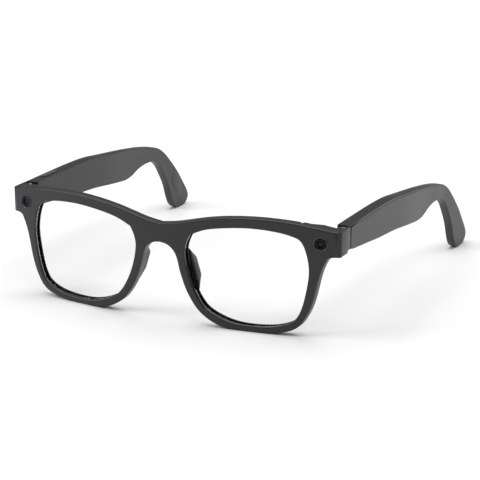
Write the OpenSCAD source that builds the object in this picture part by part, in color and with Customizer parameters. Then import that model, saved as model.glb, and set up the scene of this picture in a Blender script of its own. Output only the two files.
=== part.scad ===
// Camera glasses: a one-piece front with two camera ends, clear lenses, and two
// folding temples that carry the battery, board and speaker.
// X runs to the wearer's left, Y runs backwards over the ears, Z is up.
// The part stands on the two rims and the two ear tips with the temples open.

/* [Front] */
// clear width of one lens opening
lens_w = 51.3; // [46:0.1:56]
// clear height of one lens opening
lens_h = 40.1; // [34:0.1:44]
// distance between the two lens openings
bridge_w = 22.4; // [18:0.1:26]
// thickness of the front, from its face to its back
front_t = 4.4; // [3.6:0.1:5.2]
// radius that the whole front is bent to, seen from above
front_r = 303; // [240:1:500]
// half of the width over the two ends
half_w = 74.8; // [70:0.1:78]

/* [Cameras] */
// distance from the middle to each camera's centre
cam_x = 67.2; // [66:0.1:68]
// outer radius of the trim ring
ring_r = 2.95; // [2.6:0.05:3.1]
// radius of the window inside the ring
window_r = 2.35; // [1.9:0.05:2.5]
// how far the trim ring stands out of the front
ring_out = 0.25; // [0:0.05:0.5]

/* [Hinges] */
// distance from the middle to each hinge axis
axis_x = 72.1; // [71.9:0.05:72.2]
// distance from the front's face plane back to each hinge axis
axis_y = 17.9; // [17.5:0.1:18.3]
// radius of the hinge screw's shank
pin_r = 0.7; // [0.5:0.05:0.8]
// radius of the knuckles
knuckle_r = 1.25; // [1.1:0.05:1.3]
// running clearance of the moving knuckle on the screw
pin_gap = 0.05; // [0.02:0.01:0.09]

/* [Temples] */
// length from the butt to the end of the ear tip
temple_len = 136.8; // [130:0.1:145]
// thickness over the electronics
temple_t = 6; // [5:0.1:6.4]
// thickness of the ear part
ear_t = 3.6; // [3:0.1:4]
// gap between the front's end and the temple's butt
butt_gap = 0.3; // [0.2:0.05:0.5]
// wall of the housing
wall = 1.2; // [0.9:0.05:1.5]
// how far each temple is folded: 0 is open
fold_left = 0; // [0:1:86]
// how far the other temple is folded: 0 is open
fold_right = 0; // [0:1:92]

/* [Hidden] */
$fn = 64;
end_lo = -5.3;
end_hi = 5.1;
end_back = 19.2;
butt = end_back + butt_gap;
foot = -39;
mid_y = (butt + temple_len) / 2;
lens_x = bridge_w / 2;
lens_top = 3.7;
ks = lens_w / 51.3;
kh = lens_h / 40.1;
kt = temple_len / 136.8;
inner = half_w - temple_t;
ear_in = inner + (temple_t - ear_t) / 2;
ear_out = half_w - (temple_t - ear_t) / 2;

body_col = [0.085, 0.085, 0.09];
soft_col = [0.06, 0.06, 0.063];
clear_col = [0.85, 0.88, 0.9, 0.25];
black_col = [0.02, 0.02, 0.03];
metal_col = [0.55, 0.55, 0.57];
gold_col = [0.80, 0.62, 0.28];
ring_col = [0.16, 0.16, 0.17];
board_col = [0.06, 0.22, 0.13];
cell_col = [0.45, 0.47, 0.50];

// lens opening, as shares of its width and height from the nasal top
lens_shape = [
    [0.035, 0.16], [0, 0.32], [0.039, 0.57], [0.127, 0.80], [0.23, 0.915],
    [0.427, 0.995], [0.678, 0.995], [0.852, 0.935], [0.932, 0.823],
    [0.982, 0.59], [1, 0.345], [0.95, 0.11], [0.854, 0.037], [0.67, 0.003],
    [0.466, 0.005], [0.216, 0.05], [0.078, 0.115]];

// a smooth curve through its points
function cr(a, b, c, d, t) = 0.5 * (2 * b + (c - a) * t
    + (2 * a - 5 * b + 4 * c - d) * t * t + (3 * b - a - 3 * c + d) * t * t * t);
function ring_of(p, n) = let (m = len(p)) [for (i = [0:m - 1], j = [0:n - 1])
    cr(p[(i + m - 1) % m], p[i], p[(i + 1) % m], p[(i + 2) % m], j / n)];
function run_of(p, n) = let (m = len(p)) concat([for (i = [0:m - 2], j = [0:n - 1])
    cr(p[max(i - 1, 0)], p[i], p[i + 1], p[min(i + 2, m - 1)], j / n)], [p[m - 1]]);
// the same outline moved outwards by d, for points that run anticlockwise
function grown(p, d) = let (m = len(p)) [for (i = [0:m - 1])
    let (t = p[(i + 1) % m] - p[(i + m - 1) % m]) p[i] + d * [t[1], -t[0]] / norm(t)];
function flipped(p) = [for (i = [len(p) - 1:-1:0]) [-p[i][0], p[i][1]]];
function bow(x) = x * x / (2 * front_r);

lens_pts = ring_of([for (q = lens_shape)
    [lens_x + q[0] * lens_w, lens_top - q[1] * lens_h]], 8);

// the front's top edge from the middle out, then its lower edge back to the bridge
top_pts = run_of([[0, 1.5], [7, 2.6], [13.1, 4.1], [20.9, 5.9], [30.4, 7.3],
    [42.1, 8.0], [54.8, 7.6], [64.5, 6.3], [72.4, 5.1], [76, 4.95]], 7);
low_pts = concat([[76, end_lo]], run_of([[72.4, end_lo], [70.4, -5.8], [69.2, -7.2], [66.9, -12.9],
    [64.2, -24.4], [61.6, -30.8], [58.4, -35.2], [53.2, -37.7], [44.5, -39.1],
    [33.5, -39.3], [25.2, -37.8], [17.6, -33.3], [12.4, -26.2], [9.2, -18.2],
    [7.7, -12.3], [5.9, -8.9], [3.1, -6.9], [0, -6.3]], 6));
half_pts = concat(top_pts, low_pts);
front_pts = concat([for (i = [len(half_pts) - 1:-1:0]) half_pts[i]],
    [for (i = [1:len(half_pts) - 2]) [-half_pts[i][0], half_pts[i][1]]]);

// the temple's side view: distance behind the butt and height
side_pts = run_of([for (q = [[0, 5.1], [16, 5.1], [32, 5.05], [46, 4.5],
    [60, 2.9], [80, 0.6], [95, -1.8], [106, -4.6], [113, -8.4], [120, -14.4],
    [126.8, -21.2], [131.8, -27.3], [135.5, -32], [136.8, -35],
    [135.6, -37.4], [132.6, -38.8], [128.8, -39.15], [125, -38.3], [121.8, -35.8],
    [119.5, -31.6], [117, -25.6],
    [113, -19.4], [108.5, -13.8], [103, -10.6], [96, -9.8], [88.5, -10.5],
    [82, -12.2], [75, -12.7], [62, -11.2], [47, -9.3], [30, -8.0], [17, -6.6],
    [8, -5.7], [3.5, -5.2], [0, -4.3]]) [q[0] * kt, q[1]]], 8);
lid_pts = [[2, 3.9], [40, 3.8], [50, 2.9], [60, 1.7], [79, -0.7], [79, -11.3],
    [62, -9.9], [47, -8.1], [30, -6.8], [17, -5.4], [2, -4.3]];
room_pts = [[3, 3.1], [40, 3.0], [50, 2.1], [60, 0.9], [78, -1.4], [78, -10.4],
    [62, -9.0], [47, -7.2], [30, -5.9], [17, -4.6], [3, -3.5]];
// the middle line of the brow, for the ribbon that joins the two cameras
ribbon_pts = run_of([[-64, 2.2], [-55, 4.9], [-42, 5.8], [-30, 5.3], [-20, 3.7],
    [-12, 1.1], [-5, -1.7], [0, -2.4], [5, -1.7], [12, 1.1], [20, 3.7], [30, 5.3],
    [42, 5.8], [55, 4.9], [64, 2.2]], 3);
function band(p, h) = concat([for (q = p) [q[0], q[1] - h / 2]],
    [for (i = [len(p) - 1:-1:0]) [p[i][0], p[i][1] + h / 2]]);

module place() translate([0, -mid_y, -foot]) children();
module side(left) { if (left) children(); else mirror([1, 0, 0]) children(); }
// stands an outline up in the front's plane
module slab(p, y0 = -2, y1 = 24) translate([0, y1, 0]) rotate([90, 0, 0])
    linear_extrude(y1 - y0) polygon(p);
// the space between two depths behind the front's bent face
module depth(d0, d1) translate([0, front_r, 0]) difference() {
    cylinder(r = front_r - d0, h = 100, center = true, $fn = 256);
    cylinder(r = front_r - d1, h = 110, center = true, $fn = 256);
}
module turn(left) translate([left ? axis_x : -axis_x, axis_y, 0])
    rotate([0, 0, left ? fold_left : -fold_right])
    translate([left ? -axis_x : axis_x, -axis_y, 0]) children();
// an outline in side view, as a plate between two distances from the middle
module plate(p, x0, x1) translate([x0, butt, 0]) rotate([90, 0, 90])
    linear_extrude(x1 - x0) polygon(p);
module block(x0, x1, s0, s1, z0, z1) translate([x0, butt + s0, z0])
    cube([x1 - x0, s1 - s0, z1 - z0]);
module above_foot() translate([-200, -200, foot]) cube([400, 600, 200]);
// the camera's own axis, with Z running out of the front
module cam(left) translate([left ? cam_x : -cam_x, bow(cam_x), 0])
    rotate([90, 0, left ? asin(cam_x / front_r) : -asin(cam_x / front_r)])
    children();

// one end of the front: the brow's own top runs back over it to the hinge
end_plan = [[61, 8.6], [72, 10.4], [76, 12], [76, end_back], [73.55, end_back],
    [73.55, 16.4], [71, 16.4], [71, 14.1], [66, 13.6], [61, 10.4]];
// the whole front seen from above, with its two corners cut back
cut = half_w - 1.8;
front_plan = [[-cut + 10.8, bow(cut) - 10.86], [cut - 10.8, bow(cut) - 10.86],
    [half_w, bow(cut) + 1.81], [half_w, 40], [-half_w, 40], [-half_w, bow(cut) + 1.81]];
end_side = concat([for (q = top_pts) if (q[0] > 58) q],
    [[80, end_hi], [80, end_lo], [58, end_lo]]);
module end_block() intersection() {
    translate([0, 0, -20]) linear_extrude(40) polygon(end_plan);
    slab([for (i = [len(end_side) - 1:-1:0]) end_side[i]]);
}
// the end stops short below the hinge
module end_step() translate([70, 17, end_lo - 1]) cube([8, 4, 2]);

module leaf_slot() translate([71.45, 12.4, -4.05]) cube([1.3, 4.1, 8.1]);

module front_frame() color(body_col) place() difference() {
    intersection() {
        union() {
            intersection() { slab(front_pts); depth(0, front_t); }
            for (left = [true, false]) side(left) end_block();
        }
        above_foot();
        translate([0, 0, -60]) linear_extrude(100) polygon(front_plan);
    }
    for (left = [true, false]) side(left) {
        slab(lens_pts);
        intersection() { slab(grown(lens_pts, 0.8)); depth(1.4, 3.3); }
        leaf_slot();
        end_step();
        translate([63.6, 9.4, -0.4]) cube([2, 1.2, 3.4]);
    }
    for (left = [true, false]) cam(left) {
        translate([0, 0, -5]) cylinder(r = ring_r + 0.05, h = 6);
    }
    intersection() { slab(band(ribbon_pts, 1.8)); depth(2.3, 3); }
    for (x = [-3, 3]) translate([x, front_t + bow(x) - 0.65, -2.3])
        rotate([-90, 0, 0]) cylinder(r = 1.15, h = 3);
}

module lens(left) color(clear_col) place() side(left) intersection() {
    slab(grown(lens_pts, 0.75));
    depth(1.45, 3.25);
}
module lens_left() lens(true);
module lens_right() lens(false);

module nose_pad(left) color(body_col) place() side(left) intersection() {
    hull() {
        translate([9.9, 3.6, -9.6]) sphere(r = 1.9, $fn = 32);
        translate([10.7, 8.6, -14.2]) sphere(r = 1.7, $fn = 32);
        translate([12.6, 8.4, -20.4]) sphere(r = 1.8, $fn = 32);
        translate([14.2, 3.4, -25.6]) sphere(r = 1.9, $fn = 32);
    }
    translate([0, front_r, 0]) cylinder(r = front_r - front_t, h = 100, center = true, $fn = 256);
}
module nose_pad_left() nose_pad(true);
module nose_pad_right() nose_pad(false);

module camera_ring(left) color(ring_col) place() cam(left) rotate_extrude()
    polygon([[window_r + 0.05, -1.6], [ring_r, -1.6], [ring_r, ring_out - 0.15],
        [ring_r - 0.15, ring_out], [window_r + 0.25, ring_out], [window_r + 0.05, 0]]);
module camera_ring_left() camera_ring(true);
module camera_ring_right() camera_ring(false);

module camera_window(left) color(black_col) place() cam(left)
    translate([0, 0, -0.8]) cylinder(r = window_r, h = 0.7);
module camera_window_left() camera_window(true);
module camera_window_right() camera_window(false);

module camera_barrel(left) color(black_col) place() cam(left) {
    translate([0, 0, -3.8]) cylinder(r = 1.9, h = 2.9);
    translate([0, 0, -4.8]) cylinder(r = 2.6, h = 1);
}
module camera_barrel_left() camera_barrel(true);
module camera_barrel_right() camera_barrel(false);

module flex_cable() color(gold_col) place() intersection() {
    slab(band(ribbon_pts, 1.6));
    depth(2.5, 2.8);
}

module charge_contacts() color(gold_col) place()
    for (x = [-3, 3]) translate([x, front_t + bow(x) - 0.6, -2.3])
        rotate([-90, 0, 0]) cylinder(r = 1.1, h = 0.75);

module front_hinge(left) color(metal_col) place() side(left) difference() {
    union() {
        translate([71.5, 12.5, -4]) cube([1.2, 3.9, 8]);
        for (z = [-4, 1.4]) translate([0, 0, z]) {
            translate([71.5, 16.3, 0]) cube([1.2, axis_y - 16.3, 2.6]);
            translate([axis_x, axis_y, 0]) cylinder(r = knuckle_r, h = 2.6);
        }
    }
    translate([axis_x, axis_y, -6]) cylinder(r = pin_r, h = 12);
}
module front_hinge_left() front_hinge(true);
module front_hinge_right() front_hinge(false);

module hinge_screw(left) color(metal_col) place() side(left)
    translate([axis_x, axis_y, 0]) difference() {
        union() {
            translate([0, 0, -4.2]) cylinder(r = pin_r, h = 8.4);
            translate([0, 0, 4]) cylinder(r = 1.15, h = 0.6);
        }
        translate([-1.5, -0.15, 4.3]) cube([3, 0.3, 1]);
    }
module hinge_screw_left() hinge_screw(true);
module hinge_screw_right() hinge_screw(false);

// the temple seen from above: full over the electronics, slim at the ear
slim = (temple_t - ear_t) / 2;
function side_run(sign) = [for (q = run_of([[40, 0], [50, 0.01], [60, 0.1],
    [70, 0.4], [80, 0.75], [90, 0.95], [100, 1], [112, 1]], 5))
    [(sign > 0 ? half_w : inner) - sign * slim * q[1], butt + q[0] * kt]];
outer_run = side_run(1);
inner_run = side_run(-1);
module plan() translate([0, 0, -60]) linear_extrude(80) polygon(concat(
    [[inner + 0.3, butt], [half_w - 0.3, butt], [half_w, butt + 0.5]], outer_run,
    [[ear_out, butt + 150], [ear_in, butt + 150]],
    [for (i = [len(inner_run) - 1:-1:0]) inner_run[i]], [[inner, butt + 0.3]]));
// the ear tip begins square across the bend
module tip_zone() translate([0, butt + 106.2 * kt, -8.5]) rotate([-33, 0, 0])
    translate([0, 0, -60]) cube([100, 80, 120]);
module temple_solid() intersection() {
    plate(side_pts, 60, 80);
    plan();
    above_foot();
}
module grille_slot(c = 0) block(71 + c, 72.6 - c, 64 + c, 74 - c, -16, -8);
module button_shape(c, z0, z1) translate([axis_x - 0.2, butt + 14, z0])
    linear_extrude(z1 - z0) {
        square([2.4 + 2 * c, 9], center = true);
        for (s = [-4.5, 4.5]) translate([0, s]) circle(r = 1.2 + c);
    }

module temple_shell(left) color(body_col) place() turn(left) side(left)
    difference() {
        temple_solid();
        tip_zone();
        plate(lid_pts, 60, inner + wall);
        plate(room_pts, 60, half_w - wall);
        block(71.4, 72.8, -2, 4, -1.6, 1.6);
        grille_slot();
        translate([axis_x - 0.2, butt + 9, -8]) cylinder(r = 0.8, h = 6);
        if (!left) button_shape(0.15, 0, 10);
    }
module temple_shell_left() temple_shell(true);
module temple_shell_right() temple_shell(false);

module temple_cover(left) color(body_col) place() turn(left) side(left)
    difference() {
        intersection() { plate(lid_pts, inner, inner + wall); plan(); }
        if (left) block(60, 80, 6.6, 14.6, -1.5, 1.5);
    }
module temple_cover_left() temple_cover(true);
module temple_cover_right() temple_cover(false);

module temple_hinge(left) color(metal_col) place() turn(left) side(left)
    difference() {
        union() {
            translate([axis_x, axis_y, -1.3]) cylinder(r = knuckle_r, h = 2.6);
            translate([71.5, axis_y, -1.3]) cube([1.2, butt + 3.2 - axis_y, 2.6]);
            block(71.5, 72.7, 3.2, 10.5, -3, 2.8);
        }
        translate([axis_x, axis_y, -6]) cylinder(r = pin_r + pin_gap, h = 12);
    }
module temple_hinge_left() temple_hinge(true);
module temple_hinge_right() temple_hinge(false);

module ear_tip(left) color(soft_col) place() turn(left) side(left)
    intersection() { temple_solid(); tip_zone(); }
module ear_tip_left() ear_tip(true);
module ear_tip_right() ear_tip(false);

module battery(left) color(cell_col) place() turn(left) side(left)
    block(70.2, 73.4, 36, 60, -5.8, 0.7);
module battery_left() battery(true);
module battery_right() battery(false);

module circuit_board(left) color(board_col) place() turn(left) side(left) {
    block(72.6, 73.4, 12, 34, -3.8, 2.6);
    block(71.2, 72.6, 17, 26, -2.6, 2);
}
module circuit_board_left() circuit_board(true);
module circuit_board_right() circuit_board(false);

module speaker(left) color(black_col) place() turn(left) side(left)
    block(70.3, 73.3, 62, 76, -8.7, -1.6);
module speaker_left() speaker(true);
module speaker_right() speaker(false);

module speaker_grille(left) color(black_col) place() turn(left) side(left)
    difference() {
        intersection() { temple_solid(); block(71.05, 72.55, 64.05, 73.95, -16, -9.4); }
        for (s = [65.4:1.8:73]) translate([71.8, butt + s, -20])
            cylinder(r = 0.4, h = 12);
    }
module speaker_grille_left() speaker_grille(true);
module speaker_grille_right() speaker_grille(false);

module mic_port(left) color(black_col) place() turn(left) side(left)
    translate([axis_x - 0.2, butt + 9, -5.4]) cylinder(r = 0.75, h = 0.9);
module mic_port_left() mic_port(true);
module mic_port_right() mic_port(false);

module capture_button() color(soft_col) place() turn(false) side(false)
    button_shape(0, 3.5, 5.55);

module power_slider() color(soft_col) place() turn(true) side(true) {
    block(inner - 0.35, inner + wall + 0.1, 7, 11, -1.35, 1.35);
    block(inner + wall + 0.1, inner + wall + 0.5, 5.5, 12.5, -2.1, 2.1);
}

front_frame();
lens_left();
lens_right();
nose_pad_left();
nose_pad_right();
camera_ring_left();
camera_ring_right();
camera_window_left();
camera_window_right();
camera_barrel_left();
camera_barrel_right();
flex_cable();
charge_contacts();
front_hinge_left();
front_hinge_right();
hinge_screw_left();
hinge_screw_right();
temple_shell_left();
temple_shell_right();
temple_cover_left();
temple_cover_right();
temple_hinge_left();
temple_hinge_right();
ear_tip_left();
ear_tip_right();
battery_left();
battery_right();
circuit_board_left();
circuit_board_right();
speaker_left();
speaker_right();
speaker_grille_left();
speaker_grille_right();
mic_port_left();
mic_port_right();
capture_button();
power_slider();
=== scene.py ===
import math

import bpy
from mathutils import Matrix, Vector


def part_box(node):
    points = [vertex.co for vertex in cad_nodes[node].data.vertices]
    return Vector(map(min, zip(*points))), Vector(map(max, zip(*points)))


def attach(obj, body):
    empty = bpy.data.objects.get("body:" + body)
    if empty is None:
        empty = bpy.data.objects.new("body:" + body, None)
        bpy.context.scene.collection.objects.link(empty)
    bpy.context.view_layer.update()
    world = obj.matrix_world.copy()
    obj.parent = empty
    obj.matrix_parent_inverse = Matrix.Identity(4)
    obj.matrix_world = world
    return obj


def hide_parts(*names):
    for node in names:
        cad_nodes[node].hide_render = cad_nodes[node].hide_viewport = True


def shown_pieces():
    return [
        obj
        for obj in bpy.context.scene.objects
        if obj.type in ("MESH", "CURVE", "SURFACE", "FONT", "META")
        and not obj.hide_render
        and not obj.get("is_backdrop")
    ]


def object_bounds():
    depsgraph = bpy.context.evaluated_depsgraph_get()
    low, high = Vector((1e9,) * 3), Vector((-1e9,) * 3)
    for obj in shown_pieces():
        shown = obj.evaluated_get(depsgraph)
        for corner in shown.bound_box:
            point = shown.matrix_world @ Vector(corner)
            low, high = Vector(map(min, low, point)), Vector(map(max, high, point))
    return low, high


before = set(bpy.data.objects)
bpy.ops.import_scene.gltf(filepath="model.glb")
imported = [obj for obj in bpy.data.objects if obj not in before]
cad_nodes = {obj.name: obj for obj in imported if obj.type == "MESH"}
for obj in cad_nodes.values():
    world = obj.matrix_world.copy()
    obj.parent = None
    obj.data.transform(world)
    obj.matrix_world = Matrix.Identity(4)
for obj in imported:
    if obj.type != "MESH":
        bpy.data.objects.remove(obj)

cad_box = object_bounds()

MM = 0.001
SIDES = (("left", 1), ("right", -1))

# ---------------------------------------------------------------- sizes

# Lengths are in millimetres, and angles in radians.

# The front: bent about an upright axis behind it, with its back parallel to its face.
FACE = cad_box[0].y / MM
HALF_WIDE = round(cad_box[1].x / MM, 2)
BEND = 303
DEEP = 4.4
GROOVE = (1.4, 3.3)
SLICE_TO, SLICE_STEP = 75, 2.5

# The camera sockets in the face, and what is kept clear of them.
CAMERA_TURN = math.asin(67.2 / BEND)
CAMERA_ALONG, CAMERA_Z, CAMERA_CLEAR = BEND * CAMERA_TURN, 39, 3.4

# On the back: where the end blocks begin, how far the lens openings reach beside
# them, and the zone of the contacts' sockets, as half its width, its middle and half
# its height.
BLOCK_X, BLOCK_Z = 60, 31
OPENING_X, OPENING_Z = 64.6, 43.5
CONTACTS_X, CONTACTS_Z, CONTACTS_TALL = 6, 36.7, 1.6

# The temples: two flat sides with a split between them, a butt behind the front's end
# with its lower corner, and a sloping seam to the ear tip.
BUTT = FACE + 19.5
THICK, THINNED = 6, 1.2
OUTER, INNER = HALF_WIDE, HALF_WIDE - THICK
SPLIT = 72
BUTT_LOW = 34.7
EAR_SEAM = Vector((0, BUTT + 106.2, 30.5))
SEAM_SLOPE = math.radians(33)
ALONG_SEAM = Vector((0, math.cos(SEAM_SLOPE), -math.sin(SEAM_SLOPE)))

# The taper: how far behind the butt, and the share of the thinning reached there.
TAPER = ((40, 0), (50, 0.01), (60, 0.1), (70, 0.4), (80, 0.75), (90, 0.95), (100, 1), (112, 1))
TAPER_FROM, TAPER_TO, TAPER_STEP = 40, 100, 2.4

# The cameras' turned pieces: radius, and height above the face.
TRIM = ((2.42, -1.5), (2.93, -1.5), (2.93, 0.06), (2.84, 0.17), (2.72, 0.20),
        (2.62, 0.17), (2.50, 0.02), (2.42, -0.16))
MASK = ((2.34, -0.75), (2.34, -0.20), (2.26, -0.14), (1.42, -0.12), (1.36, -0.15),
        (1.30, -0.30), (1.18, -0.30), (1.12, -0.48), (1.02, -0.48), (0.98, -0.62))
DOME = ((1.0, -0.66), (1.0, -0.56), (0.94, -0.49), (0.82, -0.42), (0.66, -0.36),
        (0.48, -0.32), (0.28, -0.30), (0.10, -0.29))
RING_HALF_DEEP = 0.675

# A point this near a plane is on it.
ON_PLANE = 0.01

# Edges that turn more than this are rounded, and faces that turn less are shaded as one.
SHARP, SMOOTH = math.radians(28), math.radians(35)


# ---------------------------------------------------------------- shader maths

class Value:
    """A socket that carries a number, a colour, a vector or a shader."""

    def __init__(self, made, socket):
        self.made, self.socket = made, socket

    def _math(self, kind, other):
        return self.made.node("ShaderNodeMath", {"operation": kind}, {0: self, 1: other})

    def __add__(self, other):
        return self._math("ADD", other)

    def __mul__(self, other):
        return self._math("MULTIPLY", other)

    __radd__ = __add__
    __rmul__ = __mul__

    def between(self, low, high):
        """0 below low, 1 above high, smooth between."""
        return self.made.node("ShaderNodeMapRange", {"interpolation_type": "SMOOTHSTEP"},
                              {"Value": self, "From Min": low, "From Max": high})


class Finish:
    """One material, built from its nodes."""

    def __init__(self, name):
        self.material = bpy.data.materials.new(name)
        self.material.use_nodes = True
        self.tree = self.material.node_tree
        self.tree.nodes.clear()
        self.out = self.tree.nodes.new("ShaderNodeOutputMaterial")
        self.shader = self.tree.nodes.new("ShaderNodeBsdfPrincipled")
        self.surface = Value(self, self.shader.outputs[0])
        self.show(self.surface)

    def _plug(self, node, where, value):
        if isinstance(value, Value):
            self.tree.links.new(value.socket, node.inputs[where])
        elif isinstance(value, tuple) and len(node.inputs[where].default_value) > len(value):
            node.inputs[where].default_value = (*value, 1)
        else:
            node.inputs[where].default_value = value

    def node(self, kind, settings=None, sockets=None, output=0):
        made = self.tree.nodes.new(kind)
        for key, value in (settings or {}).items():
            setattr(made, key, value)
        for where, value in (sockets or {}).items():
            self._plug(made, where, value)
        return Value(self, made.outputs[output])

    def show(self, shader):
        """Put a shader on the surface."""
        self._plug(self.out, "Surface", shader)

    def noise(self, size_mm, detail=2.0, rough=0.5, stretch=(1, 1, 1)):
        place = self.node("ShaderNodeTexCoord", output="Object")
        where = self.node("ShaderNodeMapping", None, {"Vector": place, "Scale": stretch})
        return self.node("ShaderNodeTexNoise", None,
                         {"Vector": where, "Scale": 1 / (size_mm * MM),
                          "Detail": detail, "Roughness": rough}, output="Fac")

    def mix(self, amount, first, second):
        """A colour between two colours."""
        return self.node("ShaderNodeMix", {"data_type": "RGBA"},
                         {0: amount, 6: first, 7: second}, output=2)

    def set(self, **sockets):
        for name, value in sockets.items():
            self._plug(self.shader, name.replace("_", " "), value)
        return self

    def bump(self, height, distance_mm, strength):
        raised = self.node("ShaderNodeBump", None,
                           {"Height": height, "Distance": distance_mm * MM,
                            "Strength": strength})
        self._plug(self.shader, "Normal", raised)
        return self


def satin_black():
    f = Finish("satin_black")
    fine = f.noise(0.16, 3, 0.6)
    broad = f.noise(22, 2, 0.5)
    handled = f.noise(5.5, 4, 0.65)
    f.set(Base_Color=f.mix(broad, (0.0090, 0.0090, 0.0088), (0.0140, 0.0140, 0.0137)),
          Roughness=0.30 + 0.10 * handled + 0.05 * fine,
          Coat_Weight=0.10, Coat_Roughness=0.20, IOR=1.44)
    return f.bump(fine, 0.005, 0.5).material


def gloss_black():
    """The polished walls of the lens openings."""
    f = Finish("gloss_black")
    wipe = f.noise(3, 3, 0.6)
    f.set(Base_Color=(0.006, 0.006, 0.006), Roughness=0.07 + 0.08 * wipe, IOR=1.52,
          Coat_Weight=0.5, Coat_Roughness=0.04)
    return f.material


def soft_black():
    f = Finish("soft_black")
    grain = f.noise(0.22, 4, 0.7)
    handled = f.noise(7, 3, 0.6)
    f.set(Base_Color=f.mix(handled, (0.012, 0.012, 0.012), (0.019, 0.019, 0.019)),
          Roughness=0.44 + 0.12 * handled, Sheen_Weight=0.12, Sheen_Roughness=0.5)
    return f.bump(grain, 0.012, 0.7).material


def clear_lens():
    """Seen straight through, with a faint shine that grows towards grazing views."""
    f = Finish("clear_lens")
    f.set(Base_Color=(0.02, 0.02, 0.02), Roughness=0.02, IOR=1.5)
    through = f.node("ShaderNodeBsdfTransparent", None, {"Color": (0.994, 0.997, 0.996)})
    grazing = f.node("ShaderNodeLayerWeight", None, {"Blend": 0.22}, output="Fresnel")
    smear = f.noise(9, 3, 0.6)
    f.show(f.node("ShaderNodeMixShader", None,
                  {0: grazing * 0.30 + 0.012 * smear, 1: through, 2: f.surface}))
    return f.material


def black_glass():
    f = Finish("black_glass")
    dust = f.noise(0.5, 3, 0.7).between(0.62, 0.85)
    f.set(Base_Color=f.mix(dust, (0.0015, 0.0015, 0.002), (0.006, 0.006, 0.007)),
          Roughness=0.05 + 0.08 * dust, IOR=1.25)
    return f.material


def coated_glass(name, inner, outer):
    """A camera's front element: its coating is seen as a colour that changes to the rim."""
    f = Finish(name)
    grazing = f.node("ShaderNodeLayerWeight", None, {"Blend": 0.5}, output="Facing")
    ripple = f.noise(0.9, 2, 0.5)
    f.set(Base_Color=f.mix(grazing, inner, outer), Metallic=0.6,
          Roughness=0.16 + 0.08 * ripple, IOR=1.3)
    return f.material


def turned_metal(name, colour, rough):
    f = Finish(name)
    lines = f.noise(0.12, 2, 0.5, (1, 1, 0.08))
    worn = f.noise(2.5, 4, 0.6)
    f.set(Base_Color=f.mix(worn, tuple(0.82 * c for c in colour), colour), Metallic=1.0,
          Roughness=rough + 0.12 * lines)
    return f.bump(lines, 0.003, 0.5).material


def pale_floor():
    f = Finish("pale_floor")
    soft = f.noise(260, 2, 0.5)
    f.set(Base_Color=f.mix(soft, (0.86, 0.86, 0.86), (0.90, 0.90, 0.90)), Roughness=0.55)
    return f.material


SATIN = satin_black()
GLOSS = gloss_black()
SOFT = soft_black()
CLEAR = clear_lens()
GLASS = black_glass()
COAT = {"left": coated_glass("coating_violet", (0.050, 0.008, 0.070), (0.009, 0.005, 0.022)),
        "right": coated_glass("coating_blue", (0.015, 0.016, 0.100), (0.006, 0.006, 0.030))}
RING = turned_metal("dark_ring", (0.10, 0.10, 0.105), 0.34)
STEEL = turned_metal("brushed_steel", (0.56, 0.56, 0.58), 0.24)
GOLD = turned_metal("gold_contact", (0.86, 0.62, 0.25), 0.18)


# ---------------------------------------------------------------- modelling

def only(obj):
    """Select this object alone."""
    if bpy.context.object and bpy.context.object.mode != "OBJECT":
        bpy.ops.object.mode_set(mode="OBJECT")
    bpy.ops.object.select_all(action="DESELECT")
    obj.select_set(True)
    bpy.context.view_layer.objects.active = obj
    return obj


def apply(obj, kind, **settings):
    """Add a modifier and apply it."""
    only(obj)
    made = obj.modifiers.new(kind.lower(), kind)
    for key, value in settings.items():
        setattr(made, key, value)
    bpy.ops.object.modifier_apply(modifier=made.name)


def from_node(node, name, join=0.6):
    """A copy of a CAD node with its points merged, and with its flats joined up where
    they turn less than join degrees."""
    mesh = cad_nodes[node].data.copy()
    mesh.materials.clear()
    obj = bpy.data.objects.new(name, mesh)
    bpy.context.scene.collection.objects.link(obj)
    only(obj)
    bpy.ops.object.mode_set(mode="EDIT")
    bpy.ops.mesh.select_all(action="SELECT")
    bpy.ops.mesh.remove_doubles(threshold=0.002 * MM)
    if join:
        bpy.ops.mesh.dissolve_limited(angle_limit=math.radians(join))
    bpy.ops.object.mode_set(mode="OBJECT")
    return obj


def rounded(obj, width_mm, segments):
    """Round every sharp edge, and shade the broad faces flat."""
    apply(obj, "BEVEL", width=width_mm * MM, segments=segments, limit_method="ANGLE",
          angle_limit=math.radians(30), use_clamp_overlap=True)
    only(obj)
    bpy.ops.object.shade_smooth_by_angle(angle=SMOOTH)
    apply(obj, "WEIGHTED_NORMAL", weight=100, keep_sharp=True)
    return obj


def settle(obj, body, slot, finish, *nodes):
    """Give a finished piece its material, its body, and the CAD nodes it stands for."""
    obj.data.materials.clear()
    obj.data.materials.append(finish)
    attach(obj, body)
    if nodes:
        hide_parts(*nodes)
    return obj


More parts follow.
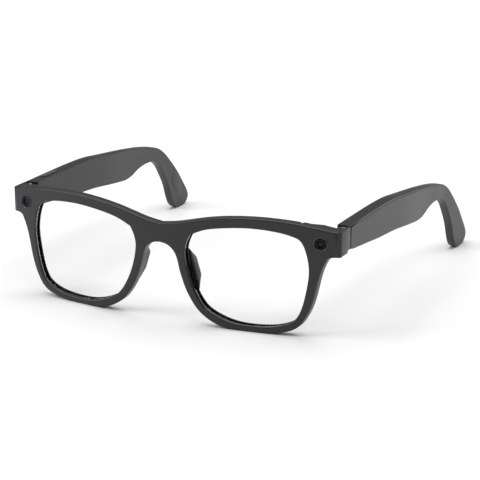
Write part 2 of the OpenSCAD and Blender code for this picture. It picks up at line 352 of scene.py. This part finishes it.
def turned(name, steps, count=64, hollow=False):
    """A round piece about Z: a disc is extruded and scaled through (radius, height) steps.
    A hollow one loses its two end faces, and its two ends are bridged."""
    bpy.ops.object.select_all(action="DESELECT")
    (r, z), rest = steps[0], steps[1:]
    bpy.ops.mesh.primitive_circle_add(vertices=count, radius=r * MM, fill_type="NGON",
                                      location=(0, 0, z * MM))
    obj = bpy.context.object
    obj.name = obj.data.name = name
    bpy.ops.object.transform_apply()
    bpy.ops.object.mode_set(mode="EDIT")
    bpy.ops.mesh.select_all(action="SELECT")
    for wide, high in rest:
        bpy.ops.mesh.extrude_region_move(
            TRANSFORM_OT_translate={"value": (0, 0, (high - z) * MM)})
        bpy.ops.transform.resize(value=(wide / r, wide / r, 1),
                                 center_override=(0, 0, high * MM))
        r, z = wide, high
    if hollow:
        bpy.ops.mesh.select_all(action="DESELECT")
        bpy.ops.mesh.select_face_by_sides(number=count)
        bpy.ops.mesh.delete(type="ONLY_FACE")
        bpy.ops.mesh.select_mode(type="EDGE")
        bpy.ops.mesh.select_non_manifold()
        bpy.ops.mesh.bridge_edge_loops()
    bpy.ops.mesh.select_all(action="SELECT")
    bpy.ops.mesh.normals_make_consistent(inside=False)
    bpy.ops.object.mode_set(mode="OBJECT")
    bpy.ops.object.shade_smooth_by_angle(angle=SMOOTH)
    return obj


def put(obj, matrix):
    """Move a piece to its place, and keep the place in its mesh."""
    only(obj)
    obj.matrix_world = matrix
    bpy.ops.object.transform_apply(location=True, rotation=True, scale=True)
    return obj


def reshaped(obj, rule, levels=(), axis=0):
    """Move each point by a rule in millimetres; one that comes within 0.05 mm of a
    level along the axis goes on to it, so that faces come out quite flat."""
    for v in obj.data.vertices:
        place = rule(v.co / MM)
        for level in levels:
            if abs(place[axis] - level) < 0.05:
                place[axis] = level
        v.co = place * MM
    obj.data.update()


def cleaned(obj):
    """Merge points and join up the flats."""
    only(obj)
    bpy.ops.object.mode_set(mode="EDIT")
    bpy.ops.mesh.select_all(action="SELECT")
    bpy.ops.mesh.remove_doubles(threshold=0.06 * MM)
    bpy.ops.mesh.dissolve_degenerate(threshold=0.02 * MM)
    bpy.ops.mesh.dissolve_limited(angle_limit=math.radians(0.3))
    bpy.ops.object.mode_set(mode="OBJECT")


def edges_rounded(obj, test, width_mm, segments=4, clamp=False):
    """Round the sharp edges whose two ends, in millimetres, pass the test."""
    only(obj)
    bpy.context.tool_settings.mesh_select_mode = (False, True, False)
    bpy.ops.object.mode_set(mode="EDIT")
    bpy.ops.mesh.select_all(action="DESELECT")
    bpy.ops.mesh.edges_select_sharp(sharpness=SHARP)
    bpy.ops.object.mode_set(mode="OBJECT")
    points = [v.co / MM for v in obj.data.vertices]
    for edge in obj.data.edges:
        if edge.select:
            edge.select = test(*(points[i] for i in edge.vertices))
    for point in obj.data.vertices:
        point.select = False
    for face in obj.data.polygons:
        face.select = False
    for edge in obj.data.edges:
        if edge.select:
            for i in edge.vertices:
                obj.data.vertices[i].select = True
    bpy.ops.object.mode_set(mode="EDIT")
    bpy.ops.mesh.bevel(offset_type="OFFSET", offset=width_mm * MM, segments=segments,
                       profile=0.5, affect="EDGES", clamp_overlap=clamp,
                       loop_slide=False)
    bpy.ops.object.mode_set(mode="OBJECT")


def sliced(obj, axis, low, high, step):
    """Cut across at even steps, so that the piece can follow a curve."""
    only(obj)
    normal = [0, 0, 0]
    normal[axis] = 1
    bpy.ops.object.mode_set(mode="EDIT")
    count = round((high - low) / step)
    for i in range(count + 1):
        place = [0, 0, 0]
        place[axis] = (low + (high - low) * i / count) * MM
        bpy.ops.mesh.select_all(action="SELECT")
        bpy.ops.mesh.bisect(plane_co=place, plane_no=normal)
    bpy.ops.object.mode_set(mode="OBJECT")


def smoothed(obj, normal_at):
    """Smooth the roundings, and keep the broad faces true: a face within 3 degrees of
    normal_at(point, face normal) takes that normal, up to where a rounding begins."""
    only(obj)
    bpy.ops.object.shade_smooth_by_angle(angle=SMOOTH)
    mesh = obj.data
    normals = [Vector(n.vector) for n in mesh.corner_normals]
    apart = math.pi
    true, rest = {}, []
    for face in mesh.polygons:
        wanted = normal_at(face.center / MM, face.normal)
        if wanted.angle(face.normal, apart) > math.radians(3):
            rest.append(face)
            continue
        for i in face.loop_indices:
            v = mesh.loops[i].vertex_index
            normals[i] = true[v] = normal_at(mesh.vertices[v].co / MM, face.normal)
    for face in rest:
        for i in face.loop_indices:
            v = mesh.loops[i].vertex_index
            if v in true and true[v].angle(face.normal, apart) < math.radians(30):
                normals[i] = true[v]
    mesh.normals_split_custom_set(normals)


# ---------------------------------------------------------------- the front

def unbent(p):
    """Along the front's bend, behind its face, and up."""
    ahead = FACE + BEND - p.y
    return Vector((BEND * math.atan2(p.x, ahead), BEND - math.hypot(p.x, ahead), p.z))


def bent(q):
    """A point of the flattened front, back on the bend."""
    turn, reach = q.x / BEND, BEND - q.y
    return Vector((reach * math.sin(turn), FACE + BEND - reach * math.cos(turn), q.z))


def across_bend(p, n):
    """The bend's own normal, on the side that n is on."""
    radial = Vector((p.x, p.y - FACE - BEND, 0)).normalized()
    return radial if radial.dot(n) > 0 else -radial


def on_outline(p, q):
    """Edges of the front's face and back, without the sockets in them and the line
    where the back meets the end blocks."""
    if all(abs(v.y) < ON_PLANE for v in (p, q)):
        return all(math.hypot(abs(v.x) - CAMERA_ALONG, v.z - CAMERA_Z) > CAMERA_CLEAR
                   for v in (p, q))
    if all(abs(v.y - DEEP) < ON_PLANE for v in (p, q)):
        wide, high = max(abs(v.x) for v in (p, q)), (p.z + q.z) / 2
        at_block = wide > BLOCK_X and high > BLOCK_Z
        at_opening = wide < OPENING_X and high < OPENING_Z
        at_contacts = wide <= CONTACTS_X and abs(high - CONTACTS_Z) <= CONTACTS_TALL
        return (at_opening or not at_block) and not at_contacts
    return False


def on_end(p, q):
    """Edges of the front's two flat ends."""
    return all(abs(abs(bent(v).x) - HALF_WIDE) < 0.03 for v in (p, q))


def front_shell():
    """The one-piece front. It is flat while its edges are rounded."""
    piece = from_node("front_frame", "front_shell", join=0)
    reshaped(piece, unbent, (0, *GROOVE, DEEP), axis=1)
    cleaned(piece)
    edges_rounded(piece, on_outline, 0.65)
    edges_rounded(piece, on_end, 0.5, 3, clamp=True)
    sliced(piece, 0, -SLICE_TO, SLICE_TO, SLICE_STEP)
    reshaped(piece, bent)
    smoothed(piece, across_bend)
    settle(piece, "front", "frame", SATIN, "front_frame")
    piece.data.materials.append(GLOSS)
    return piece


def polished_opening(shell, side, margin=0.3):
    """Give the front's faces that look in at a lens the second material."""
    low, high = (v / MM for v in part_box(f"lens_{side}"))
    middle = (low + high) / 2
    for face in shell.data.polygons:
        c, n = face.center / MM, face.normal
        near = (low.x - margin < c.x < high.x + margin
                and low.z - margin < c.z < high.z + margin)
        inward = n.x * (middle.x - c.x) + n.z * (middle.z - c.z) > 0
        if near and inward and abs(n.y) < 0.55:
            face.material_index = 1


def lens(side):
    piece = rounded(from_node(f"lens_{side}", f"lens_{side}_clear"), 0.12, 1)
    settle(piece, "front", "lens", CLEAR, f"lens_{side}")


def nose_pad(side):
    piece = from_node(f"nose_pad_{side}", f"pad_{side}", join=0)
    apply(piece, "REMESH", mode="VOXEL", voxel_size=0.22 * MM)
    apply(piece, "SMOOTH", factor=0.5, iterations=14)
    bpy.ops.object.shade_smooth()
    settle(piece, "front", "frame", SATIN, f"nose_pad_{side}")


front = front_shell()
for side, _ in SIDES:
    polished_opening(front, side)
    lens(side)
    nose_pad(side)


# ---------------------------------------------------------------- the cameras

def camera_seat(side, s):
    """The middle of a camera at the front's face, with Z straight out of the face."""
    low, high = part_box(f"camera_ring_{side}")
    tilt = s * CAMERA_TURN
    out = Vector((math.sin(tilt), -math.cos(tilt), 0))
    return (Matrix.Translation((low + high) / 2 + out * RING_HALF_DEEP * MM)
            @ Matrix.Rotation(tilt, 4, "Z") @ Matrix.Rotation(math.pi / 2, 4, "X"))


def front_camera(side, seat):
    """The trim ring, the cover glass stepped down into the barrel, and the dome in it."""
    trim = put(turned(f"camera_{side}_trim", TRIM, hollow=True), seat)
    settle(trim, "front", "ring", RING, f"camera_ring_{side}")
    mask = put(turned(f"camera_{side}_mask", MASK), seat)
    settle(mask, "front", "camera_glass", GLASS, f"camera_window_{side}")
    dome = put(turned(f"camera_{side}_lens", DOME, 48), seat)
    settle(dome, "front", "camera_glass", COAT[side])


for side, s in SIDES:
    front_camera(side, camera_seat(side, s))


# ---------------------------------------------------------------- the temples

def taper_run(steps=5):
    """The points of a smooth curve through the taper's points."""
    run = []
    for i in range(len(TAPER) - 1):
        a, b, c, d = (TAPER[min(max(i + k, 0), len(TAPER) - 1)] for k in (-1, 0, 1, 2))
        for t in (j / steps for j in range(steps)):
            run.append(tuple(0.5 * (2 * b[n] + (c[n] - a[n]) * t
                                    + (2 * a[n] - 5 * b[n] + 4 * c[n] - d[n]) * t * t
                                    + (3 * b[n] - a[n] - 3 * c[n] + d[n]) * t ** 3)
                             for n in (0, 1)))
    return run + [TAPER[-1]]


RUN = taper_run()


def share_at(y):
    """How much of the taper is reached: 0 at the housing, 1 at the ear."""
    back, share = y - BUTT, 0.0
    for (y0, s0), (y1, s1) in zip(RUN, RUN[1:]):
        if y0 <= back:
            share = s0 + (s1 - s0) * min((back - y0) / (y1 - y0), 1)
    return share


def middle_and_scale(p):
    """The middle of the temple's thickness, and its thickness as a share of the full one."""
    middle = math.copysign((OUTER + INNER) / 2, p.x)
    return middle, 1 - share_at(p.y) * THINNED / (THICK / 2)


def tapered(p):
    """A point with the taper put back."""
    middle, scale = middle_and_scale(p)
    return Vector((middle + (p.x - middle) * scale, p.y, p.z))


def side_of(x):
    """The temple's outer side for a place beyond the split, and its inner side if not."""
    return math.copysign(OUTER if abs(x) > SPLIT else INNER, x)


def straightened(p):
    """A point without the taper. The butt is squared: its chamfer goes on to its edges,
    and the points round its lower corner on to one corner."""
    if p.y < BUTT + 1.2 and p.z < BUTT_LOW + 0.3:
        return Vector((side_of(p.x), BUTT, BUTT_LOW))
    middle, scale = middle_and_scale(p)
    x = middle + (p.x - middle) / scale
    if p.y < BUTT + 0.6 and not INNER + 0.4 < abs(x) < OUTER - 0.4:
        return Vector((side_of(x), BUTT, p.z))
    return Vector((x, p.y, p.z))


def across_taper(p, n, half_step=1.5):
    """The tapered side's own normal, on the side that n is on."""
    rise = share_at(p.y + half_step) - share_at(p.y - half_step)
    slope = THINNED * rise / (2 * half_step)
    return Vector((math.copysign(1, n.x), slope, 0)).normalized()


def in_tenths(y, z):
    return round(y, 1), round(z, 1)


def on_rim(p, q, side_x, rims):
    """Edges of a temple's outline, without the lid's seat, the slots and the ear seam."""
    if any(abs(abs(v.x) - side_x) > ON_PLANE for v in (p, q)):
        return False
    if all(abs((v - EAR_SEAM).dot(ALONG_SEAM)) < 0.1 for v in (p, q)):
        return False
    return side_x == OUTER or all(
        any(in_tenths(v.y + a, v.z + b) in rims for a in (-0.05, 0.05) for b in (-0.05, 0.05))
        for v in (p, q))


def temple_piece(side, s, node, name, width, slot, finish):
    """A shell, lid or tip. It is even in thickness while its edges are rounded, in full
    on the outer side and by half on the inner."""
    piece = from_node(f"{node}_{side}", f"temple_{side}_{name}", join=0)
    reshaped(piece, straightened, (s * OUTER, s * INNER))
    cleaned(piece)
    points = [v.co / MM for v in piece.data.vertices]
    rims = {in_tenths(p.y, p.z) for p in points if abs(abs(p.x) - OUTER) < 0.4}
    for side_x, share in ((OUTER, 1), (INNER, 0.5)):
        edges_rounded(piece, lambda p, q: on_rim(p, q, side_x, rims), share * width)
    sliced(piece, 1, BUTT + TAPER_FROM, BUTT + TAPER_TO, TAPER_STEP)
    reshaped(piece, tapered)
    smoothed(piece, across_taper)
    settle(piece, f"temple_{side}", slot, finish, f"{node}_{side}")


def tip_pad(side, s):
    """The shallow oval on the ear tip's inner side."""
    low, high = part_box(f"ear_tip_{side}")
    inner_x = low.x if s > 0 else high.x
    bpy.ops.object.select_all(action="DESELECT")
    bpy.ops.mesh.primitive_uv_sphere_add(segments=40, ring_count=20, radius=MM)
    pad = bpy.context.object
    pad.name = pad.data.name = f"temple_{side}_tip_pad"
    place = Matrix.Translation((inner_x, low.y + 20.5 * MM, low.z + 12.5 * MM))
    turn = Matrix.Rotation(math.radians(-56), 4, "X")
    size = Matrix.Diagonal((0.3, 6.6, 3.4, 1))
    put(pad, place @ turn @ size)
    bpy.ops.object.shade_smooth()
    settle(pad, f"temple_{side}", "soft", SOFT)


def hinge(side):
    """The two leaves and their screw."""
    for node in ("front_hinge", "temple_hinge", "hinge_screw"):
        body = f"temple_{side}" if node == "temple_hinge" else "front"
        piece = rounded(from_node(f"{node}_{side}", f"{node}_{side}_steel"), 0.12, 2)
        settle(piece, body, "steel", STEEL, f"{node}_{side}")


for side, s in SIDES:
    temple_piece(side, s, "temple_shell", "outer", 0.8, "frame", SATIN)
    temple_piece(side, s, "temple_cover", "lid", 0.14, "frame", SATIN)
    temple_piece(side, s, "ear_tip", "tip", 0.8, "soft", SOFT)
    tip_pad(side, s)
    hinge(side)


# ---------------------------------------------------------------- the small pieces

def slider_ridges(count=4, first=2.3, pitch=0.75):
    """Upright ridges for the fingertip, sunk in the knob's inner face."""
    low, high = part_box("power_slider")
    for i in range(count):
        bpy.ops.object.select_all(action="DESELECT")
        bpy.ops.mesh.primitive_cylinder_add(
            vertices=16, radius=0.16 * MM, depth=2.2 * MM,
            location=(low.x + 0.02 * MM, low.y + (first + pitch * i) * MM,
                      (low.z + high.z) / 2))
        ridge = bpy.context.object
        ridge.name = ridge.data.name = f"power_slider_ridge_{i + 1}"
        bpy.ops.object.transform_apply()
        settle(rounded(ridge, 0.06, 2), "power_slider", "soft", SOFT)


button = rounded(from_node("capture_button", "capture_button_cap"), 0.35, 3)
settle(button, "capture_button", "soft", SOFT, "capture_button")
knob = rounded(from_node("power_slider", "power_slider_knob"), 0.15, 2)
settle(knob, "power_slider", "soft", SOFT, "power_slider")
slider_ridges()
contacts = rounded(from_node("charge_contacts", "charge_contact_pads"), 0.12, 2)
settle(contacts, "front", "contact", GOLD, "charge_contacts")

# The pieces inside, and the grilles and ports, are shown as the CAD has them.
AS_MADE = {"camera_barrel": GLASS, "battery": STEEL, "circuit_board": SOFT, "speaker": SOFT,
           "speaker_grille": SOFT, "mic_port": SOFT, "flex_cable": GOLD}
for node, finish in AS_MADE.items():
    for name in (node, f"{node}_left", f"{node}_right"):
        if name in cad_nodes:
            cad_nodes[name].data.materials.clear()
            cad_nodes[name].data.materials.append(finish)


# ---------------------------------------------------------------- the set

def floor():
    bpy.ops.object.select_all(action="DESELECT")
    bpy.ops.mesh.primitive_plane_add(size=2.6, location=(0, 0, 0))
    made = bpy.context.object
    made.name = "floor"
    made.data.materials.append(pale_floor())
    made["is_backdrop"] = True


def studio(lighting, seen):
    """A white world that lights with one strength and is seen with another."""
    world = bpy.data.worlds.new("studio")
    world.use_nodes = True
    nodes, links = world.node_tree.nodes, world.node_tree.links
    back = nodes["Background"]
    back.inputs["Color"].default_value = (1, 1, 1, 1)
    rays = nodes.new("ShaderNodeLightPath")
    power = nodes.new("ShaderNodeMapRange")
    power.inputs["To Min"].default_value = lighting
    power.inputs["To Max"].default_value = seen
    links.new(rays.outputs["Is Camera Ray"], power.inputs["Value"])
    links.new(power.outputs[0], back.inputs["Strength"])
    bpy.context.scene.world = world
    bpy.context.scene.view_settings.view_transform = "Standard"


def lamp(name, place, aim, size, watts):
    bpy.ops.object.light_add(type="AREA", location=place)
    made = bpy.context.object
    made.name = name
    made.data.shape = "RECTANGLE"
    made.data.size, made.data.size_y = size
    made.data.energy = watts
    made.rotation_euler = (Vector(aim) - Vector(place)).to_track_quat("-Z", "Y").to_euler()


floor()
studio(lighting=0.20, seen=0.95)
lamp("overhead", (0.0, 0.3, 2.0), (0, 0.1, 0), (3.0, 3.0), 60)
lamp("left_soft", (-1.2, -0.8, 0.8), (0, 0, 0.02), (0.8, 1.0), 11)
lamp("back_strip", (0.5, 1.3, 0.6), (0, 0, 0.02), (1.4, 0.3), 4)

# ---------------------------------------------------------------- the camera

# Where it stands, from the face's middle line at the height of the front's cameras: how
# far round towards the wearer's left, how far up, and how far off, in metres.
FACE_POINT = Vector((0, cad_box[0].y, CAMERA_Z * MM))
VIEW_TURN, VIEW_RISE, VIEW_REACH = math.radians(28.972), math.radians(16.813), 0.77388


def view_place():
    flat = VIEW_REACH * math.cos(VIEW_RISE)
    return FACE_POINT + Vector((flat * math.sin(VIEW_TURN), -flat * math.cos(VIEW_TURN),
                                VIEW_REACH * math.sin(VIEW_RISE)))


def frame_up(cam, eye, points, fill):
    """Stand the camera at eye, aim it at the middle of what it sees, and fit that."""
    aim = (sum(cad_box, Vector()) / 2 - eye).normalized()
    for _ in range(12):
        right = aim.cross(Vector((0, 0, 1))).normalized()
        up = right.cross(aim).normalized()
        seen = [((p - eye).dot(right) / (p - eye).dot(aim),
                 (p - eye).dot(up) / (p - eye).dot(aim)) for p in points]
        lo = [min(v[i] for v in seen) for i in (0, 1)]
        hi = [max(v[i] for v in seen) for i in (0, 1)]
        aim = (aim + right * (lo[0] + hi[0]) / 2 + up * (lo[1] + hi[1]) / 2).normalized()
    half = max(hi[0] - lo[0], hi[1] - lo[1]) / 2
    cam.data.lens = cam.data.sensor_width / 2 * fill / half
    cam.matrix_world = Matrix.Translation(eye) @ Matrix((right, up, -aim)).transposed().to_4x4()


bpy.ops.object.camera_add()
view = bpy.context.object
view.name = "view"
bpy.context.scene.camera = view
view.data.sensor_width = 36
view.data.clip_start, view.data.clip_end = 0.01, 20
frame_up(view, view_place(), [v.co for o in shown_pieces() for v in o.data.vertices], 0.94)

bpy.context.view_layer.update()
